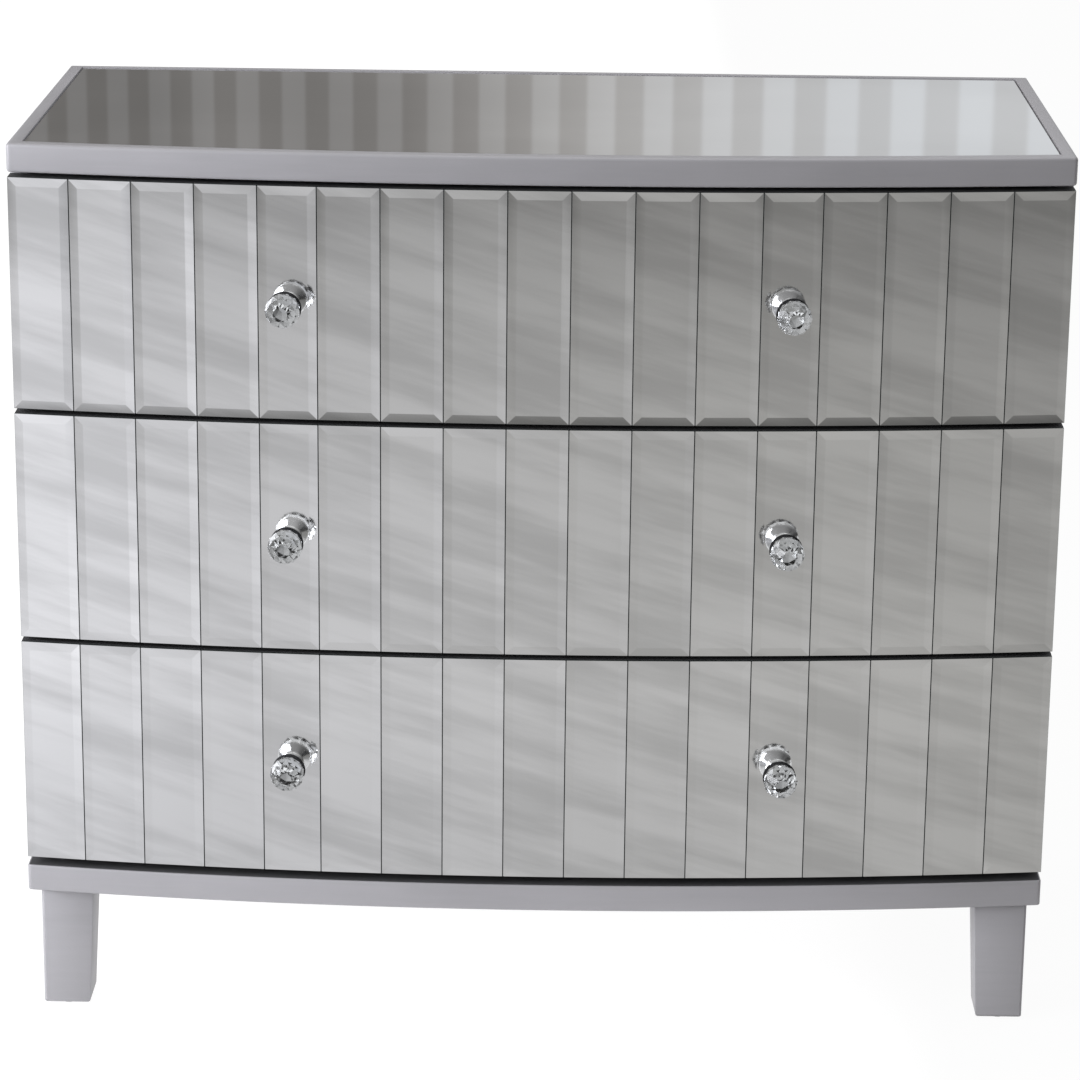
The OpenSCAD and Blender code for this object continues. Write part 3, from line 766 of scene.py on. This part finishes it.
class CHEST_OT_boards(bpy.types.Operator):
    """Models the bowed top and base, the side panels and the legs, and finishes the other boards"""

    bl_idname = "chest.boards"
    bl_label = "Boards"

    def execute(self, context):
        settings = context.scene.chest_paint
        paint = silver_paint(settings)
        self.top(settings, paint)
        base = self.slab("base_panel", settings, BASE_EDGE_ROUND)
        self.finish(base, "bowed_base", "base_panel", paint)
        dark = gap_shade_paint()
        # Painted shade: the base's upward faces, seen through the gap under the lower drawer, are charcoal
        base.data.materials.append(dark)
        for face in base.data.polygons:
            face.material_index = 1 if face.normal.z > 0.99 else 0
        for side in ("left", "right"):
            self.side(f"side_panel_{side}", settings, paint)
        for foot in ("front_left", "front_right", "back_left", "back_right"):
            self.leg(f"leg_{foot}", settings, paint)
        # Painted shade: the divider rails behind the gaps between the drawers are charcoal
        for node in ("divider_rail_upper", "divider_rail_lower"):
            dress(node, dark)
        dress("back_panel", paint)
        # Painted shade: the drawer fronts' boards, seen through the seams and gaps, are charcoal
        for place in PLACES:
            dress(f"front_panel_{place}", dark)
        return {"FINISHED"}

    def slab(self, node, settings, edge_round, recess=None):
        """A bowed slab with round front corners and round edges, and with a recess if one is given."""
        low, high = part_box(node)
        slab = self.bowed(node, low, high, BOW_RADIUS, settings)
        edit_edges(slab, [edge for edge in slab.data.edges if self.is_corner(slab, edge)])
        bpy.ops.mesh.bevel(offset=CORNER_ROUND, segments=4)
        bpy.ops.object.mode_set(mode="OBJECT")
        if recess:
            combine(slab, recess, "DIFFERENCE")
        edit_edges(slab, [edge for edge in slab.data.edges if self.is_outline(slab, edge, high.y)])
        bpy.ops.mesh.bevel(offset=edge_round, segments=4)
        bpy.ops.object.mode_set(mode="OBJECT")
        return slab

    @staticmethod
    def bowed(name, low, high, radius, settings):
        """What a box and an upright cylinder with this radius have in common."""
        block = add_box(name, low, high)
        middle = (0, BOW_CENTRE_Y, (low.z + high.z) / 2)
        height = 2 * (high.z - low.z)
        bpy.ops.object.select_all(action="DESELECT")
        bpy.ops.mesh.primitive_cylinder_add(
            vertices=settings.bow_sides,
            radius=radius,
            depth=height,
            location=middle,
            rotation=(0, 0, math.pi / 2),
        )
        round_block = bpy.context.object
        bpy.ops.object.transform_apply(location=True, rotation=True, scale=True)
        return combine(block, round_block, "INTERSECT")

    @staticmethod
    def is_corner(slab, edge):
        """Whether an edge is one of the two upright edges at the front corners."""
        ends = [slab.data.vertices[i].co for i in edge.vertices]
        upright = abs(ends[0].z - ends[1].z) > 0.01
        return upright and abs(abs(ends[0].x) - HALF_WIDTH) < 0.0001 and ends[0].y < 0

    @staticmethod
    def is_outline(slab, edge, back):
        """Whether an edge runs along the outline of a slab, above or below."""
        ends = [slab.data.vertices[i].co for i in edge.vertices]
        inside = [
            min(HALF_WIDTH - abs(end.x), back - end.y, BOW_RADIUS - math.hypot(end.x, end.y - BOW_CENTRE_Y))
            for end in ends
        ]
        upright = abs(ends[0].z - ends[1].z) > 0.01
        return max(inside) < CORNER_ROUND and not upright

    def top(self, settings, paint):
        """The top slab with its recess for the mirror."""
        low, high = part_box("top_mirror")
        rim_front = low.y - TOP_LOW.y
        gap = Vector((RIM_GAP, RIM_GAP, 0))
        low, high = low - gap, high + gap
        high.z += PAST
        recess = self.bowed("recess", low, high, BOW_RADIUS - rim_front + RIM_GAP, settings)
        slab = self.slab("top_panel", settings, TOP_EDGE_ROUND, recess)
        add_bevel(slab, settings.edge / 2, 2, math.radians(60))
        apply_modifiers(slab)
        self.finish(slab, "bowed_top", "top_panel", paint)

    def side(self, node, settings, paint):
        """A side panel with the rebate for the back."""
        low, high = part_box(node)
        panel = add_box(node, low, high)
        back_low, back_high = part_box("back_panel")
        inner = min(low.x, high.x, key=abs)
        reach = math.copysign(abs(inner) + REBATE_WIDTH, inner)
        cut_low = Vector((min(reach, 0), back_low.y, low.z - PAST))
        cut_high = Vector((max(reach, 0), back_high.y + PAST, high.z + PAST))
        combine(panel, add_box("rebate", cut_low, cut_high), "DIFFERENCE")
        add_bevel(panel, settings.edge, 2, math.radians(40))
        apply_modifiers(panel)
        self.finish(panel, f"{node}_board", node, paint)

    def leg(self, node, settings, paint):
        """A leg that tapers on its inner sides and is eased all round, most of all at the foot."""
        low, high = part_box(node)
        leg = add_box(node, low, high)
        outer = Vector((max(low.x, high.x, key=abs), max(low.y, high.y, key=abs), low.z))
        share = LEG_FOOT_WIDTH / (high.x - low.x)
        edit_faces(leg, lambda face: face.normal.z < -0.9)
        bpy.ops.transform.resize(value=(share, share, 1), center_override=outer)
        bpy.ops.mesh.bevel(offset=LEG_CHAMFER, segments=3)
        bpy.ops.object.mode_set(mode="OBJECT")
        upright = [edge for edge in leg.data.edges if self.is_outer_upright(leg, edge, outer)]
        edit_edges(leg, upright)
        bpy.ops.mesh.bevel(offset=CORNER_ROUND, segments=3)
        bpy.ops.object.mode_set(mode="OBJECT")
        add_bevel(leg, settings.edge, 2, math.radians(50))
        apply_modifiers(leg)
        self.finish(leg, f"{node}_tapered", node, paint)

    @staticmethod
    def is_outer_upright(leg, edge, outer):
        """Whether an edge is the long upright edge at the outer corner of a leg."""
        ends = [leg.data.vertices[i].co for i in edge.vertices]
        if abs(ends[0].z - ends[1].z) < 0.05:
            return False
        return all(abs(end.x - outer.x) < 0.0005 and abs(end.y - outer.y) < 0.0005 for end in ends)

    @staticmethod
    def finish(board, name, node, paint):
        """Names and paints a board, which stands for its node in the carcass."""
        board.name = name
        smooth_by_angle(board, math.radians(32))
        board.data.materials.clear()
        board.data.materials.append(paint)
        stands_for(board, "carcass", node)


class CHEST_OT_strips(bpy.types.Operator):
    """Models the bevelled mirror strips of the three drawer fronts"""

    bl_idname = "chest.strips"
    bl_label = "Mirror strips"

    def execute(self, context):
        settings = context.scene.chest_glass
        mirror = strip_mirror(settings)
        edge = shaded_glass_edge()
        strips = [self.strip(k, settings, mirror, edge) for k in range(STRIP_COUNT)]
        row = join(strips, "mirror_strips_row")
        for place in PLACES:
            low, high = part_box(f"mirror_strips_{place}")
            lift = Matrix.Translation((0, 0, (low.z + high.z) / 2))
            piece = duplicate(row, f"bevelled_strips_{place}", lift)
            stands_for(piece, f"drawer_{place}", f"mirror_strips_{place}")
        bpy.data.objects.remove(row)
        dress("top_mirror", top_mirror_finish(settings))
        return {"FINISHED"}

    def strip(self, k, settings, mirror, edge):
        """One strip: a plate whose outer face is inset and lifted, with a mitred bevel all round."""
        edge_thick = GLASS_THICK - settings.bevel_drop
        size = (strip_width(k), edge_thick, DRAWER_HEIGHT)
        bpy.ops.object.select_all(action="DESELECT")
        bpy.ops.mesh.primitive_cube_add(size=1.0, location=(0, -edge_thick / 2, 0), scale=size)
        plate = bpy.context.object
        bpy.ops.object.transform_apply(location=True, rotation=True, scale=True)
        edit_faces(plate, lambda face: face.normal.y < -0.9)
        bpy.ops.mesh.inset(thickness=settings.bevel_width, depth=0.0)
        bpy.ops.transform.translate(value=(0, -settings.bevel_drop, 0))
        bpy.ops.object.mode_set(mode="OBJECT")
        add_bevel(plate, settings.ridge, 2, math.radians(4))
        apply_modifiers(plate)
        plate.data.materials.append(mirror)
        plate.data.materials.append(edge)
        # The ground edges are near black: partly the glass's own grey green, partly painted shade that
        # deepens the seams
        # The flats and the bevels lean by less than 14 degrees, and the ground edges by more
        for face in plate.data.polygons:
            face.material_index = 0 if face.normal.y < -0.97 else 1
        self.mark(plate, k)
        bake_place(plate, on_strip(k, strip_back_radius(k)))
        smooth_by_angle(plate, math.radians(3))
        return plate

    def mark(self, plate, k):
        """Keeps the way that the strip faces and its number as attributes of its faces."""
        turn = strip_turn(k)
        plate.data.attributes.new("glass_front", "FLOAT_VECTOR", "FACE")
        plate.data.attributes.new("strip_number", "FLOAT", "FACE")
        front = plate.data.attributes["glass_front"].data
        number = plate.data.attributes["strip_number"].data
        for i in range(len(plate.data.polygons)):
            front[i].vector = (math.sin(turn), -math.cos(turn), 0)
            number[i].value = float(k)


class CHEST_OT_knobs(bpy.types.Operator):
    """Models the turned chrome mounts and gives the crystals their glass"""

    bl_idname = "chest.knobs"
    bl_label = "Knobs"

    # Radius and height of the mount's rings from the glass up, in metres
    PROFILE = (
        (0.0125, 0.0),
        (0.0125, 0.0013),
        (0.0123, 0.0019),
        (0.0117, 0.0024),
        (0.0100, 0.0026),
        (0.0072, 0.0029),
        (0.0054, 0.0036),
        (0.0046, 0.0050),
        (0.0045, 0.0065),
        (0.0048, 0.0082),
        (0.0059, 0.0100),
        (0.0083, 0.0120),
        (0.0115, 0.0142),
        (0.0142, 0.0158),
        (0.0157, 0.0167),
        (0.0160, 0.0173),
        (0.0159, 0.0178),
        (0.0155, 0.0180),
        (0.0118, 0.0180),
    )
    LIP_HEIGHT = 0.0174

    def execute(self, context):
        settings = context.scene.chest_knobs
        metal = chrome(settings)
        glass = crystal(settings)
        mount = self.mount(settings, metal)
        for place in PLACES:
            low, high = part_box(f"knob_mounts_{place}")
            z = (low.z + high.z) / 2
            pair = []
            for k in KNOB_STRIPS:
                seat = on_strip(k, strip_back_radius(k) + GLASS_THICK, z) @ self.outwards()
                pair.append(duplicate(mount, f"mount_{k}", seat))
            piece = join(pair, f"turned_mounts_{place}")
            stands_for(piece, f"drawer_{place}", f"knob_mounts_{place}")
            dress(f"knob_crystals_{place}", glass)
        bpy.data.objects.remove(mount)
        return {"FINISHED"}

    @staticmethod
    def outwards():
        """Turns a shape that stands up along Z so that it points out of the front."""
        return Matrix.Rotation(math.pi / 2, 4, "X")

    def mount(self, settings, metal):
        """The mount, drawn up ring by ring from its foot."""
        first, foot_z = self.PROFILE[0]
        bpy.ops.object.select_all(action="DESELECT")
        bpy.ops.mesh.primitive_circle_add(vertices=settings.sides, radius=first, fill_type="NGON")
        mount = bpy.context.object
        bpy.ops.object.mode_set(mode="EDIT")
        bpy.ops.mesh.select_all(action="SELECT")
        radius, height = first, foot_z
        for next_radius, next_height in self.PROFILE[1:]:
            bpy.ops.mesh.extrude_region_move(TRANSFORM_OT_translate={"value": (0, 0, next_height - height)})
            share = next_radius / radius
            bpy.ops.transform.resize(value=(share, share, 1), center_override=(0, 0, next_height))
            radius, height = next_radius, next_height
        bpy.ops.mesh.select_all(action="SELECT")
        bpy.ops.mesh.normals_make_consistent(inside=False)
        bpy.ops.object.mode_set(mode="OBJECT")
        smooth_by_angle(mount, math.radians(50))
        mount.data.materials.append(metal)
        mount.data.materials.append(shaded_lip())
        # Painted shade: the cup's lip above LIP_HEIGHT, round the crystal, takes the near-black finish
        for face in mount.data.polygons:
            is_seat = face.center.xy.length < 0.001
            face.material_index = 1 if face.center.z > self.LIP_HEIGHT and not is_seat else 0
        return mount


class CHEST_OT_inside(bpy.types.Operator):
    """Finishes the drawer boxes, the runners and the fittings"""

    bl_idname = "chest.inside"
    bl_label = "Boxes and runners"

    def execute(self, context):
        looks = {
            "drawer_side": drawer_board("drawer_board", Vector((0, 0, 1))),
            "drawer_bottom": drawer_board("drawer_bottom_board", Vector((0, 1, 0))),
            "cabinet_runners": zinc_steel(),
            "leg_glides": glide_plastic(),
        }
        looks["drawer_back"] = looks["drawer_side"]
        for start in ("drawer_runners", "ball_cages", "knob_screws", "leg_bolts"):
            looks[start] = looks["cabinet_runners"]
        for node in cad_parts:
            for start, finish in looks.items():
                if node.startswith(start):
                    dress(node, finish)
        return {"FINISHED"}


class CHEST_PT_panel(bpy.types.Panel):
    """Lists the steps that dress the chest"""

    bl_idname = "CHEST_PT_panel"
    bl_label = "Chest"
    bl_space_type = "VIEW_3D"
    bl_region_type = "UI"
    bl_category = "Chest"

    def draw(self, context):
        for step in STEPS:
            self.layout.operator(step.bl_idname)


SETTINGS = {
    "chest_glass": GlassSettings,
    "chest_paint": PaintSettings,
    "chest_knobs": KnobSettings,
    "chest_stage": StageSettings,
}
STEPS = (CHEST_OT_stage, CHEST_OT_boards, CHEST_OT_strips, CHEST_OT_knobs, CHEST_OT_inside)


def register():
    """Registers the settings, the steps and the panel."""
    for name, group in SETTINGS.items():
        bpy.utils.register_class(group)
        setattr(bpy.types.Scene, name, PointerProperty(type=group))
    for step in (*STEPS, CHEST_PT_panel):
        bpy.utils.register_class(step)


def unregister():
    """Takes back what register() added."""
    for step in reversed((*STEPS, CHEST_PT_panel)):
        bpy.utils.unregister_class(step)
    for name, group in SETTINGS.items():
        delattr(bpy.types.Scene, name)
        bpy.utils.unregister_class(group)


def main():
    """Dresses the chest step by step."""
    register()
    bpy.ops.chest.stage()
    bpy.ops.chest.boards()
    bpy.ops.chest.strips()
    bpy.ops.chest.knobs()
    bpy.ops.chest.inside()


if __name__ == "__main__":
    main()
